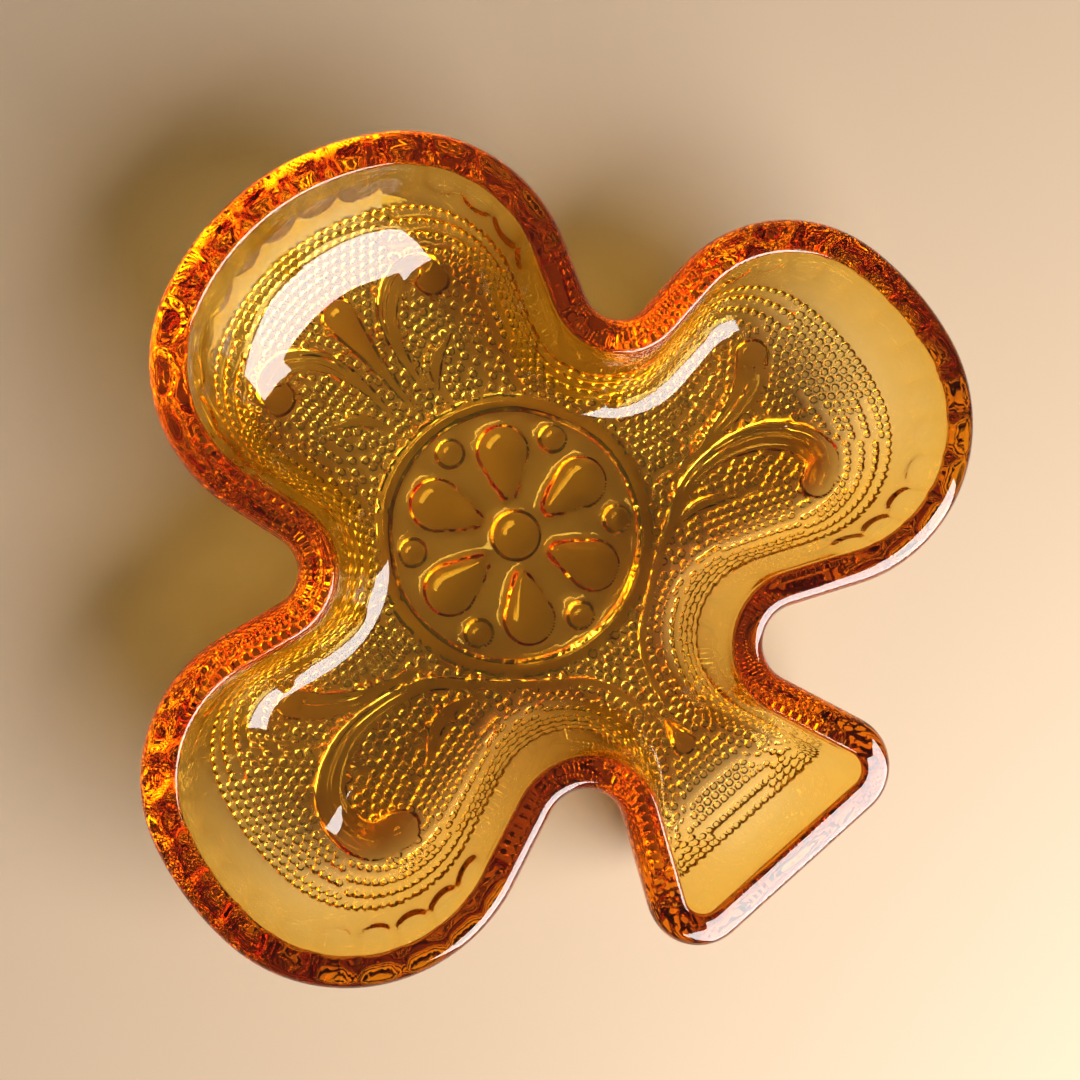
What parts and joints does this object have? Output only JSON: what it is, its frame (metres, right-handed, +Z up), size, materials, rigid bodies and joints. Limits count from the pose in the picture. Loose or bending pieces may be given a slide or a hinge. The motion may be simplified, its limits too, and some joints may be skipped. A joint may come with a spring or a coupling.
{
  "type": "candy dish",
  "caption": "Shallow club-shaped pressed amber glass candy dish with a short stem, a thick scalloped rim and scroll relief underneath.",
  "frame": {"origin": "centre of the bounding box on the plane the dish stands on", "axes": "+Z up out of the dish, +X towards the right lobe, +Y towards the far lobe and away from the stem"},
  "size_m": [0.145, 0.1332, 0.027],
  "materials": {
    "amber_glass": "clear amber pressed glass, fire polished inside"
  },
  "bodies": {
    "root": {"dish_floor": "amber_glass", "dish_wall": "amber_glass", "rim": "amber_glass", "foot_ring": "amber_glass", "flower_relief": "amber_glass", "right_lobe_scrolls": "amber_glass", "left_lobe_scrolls": "amber_glass", "far_lobe_scrolls": "amber_glass", "stem_drop": "amber_glass"}
  },
  "joints": []
}
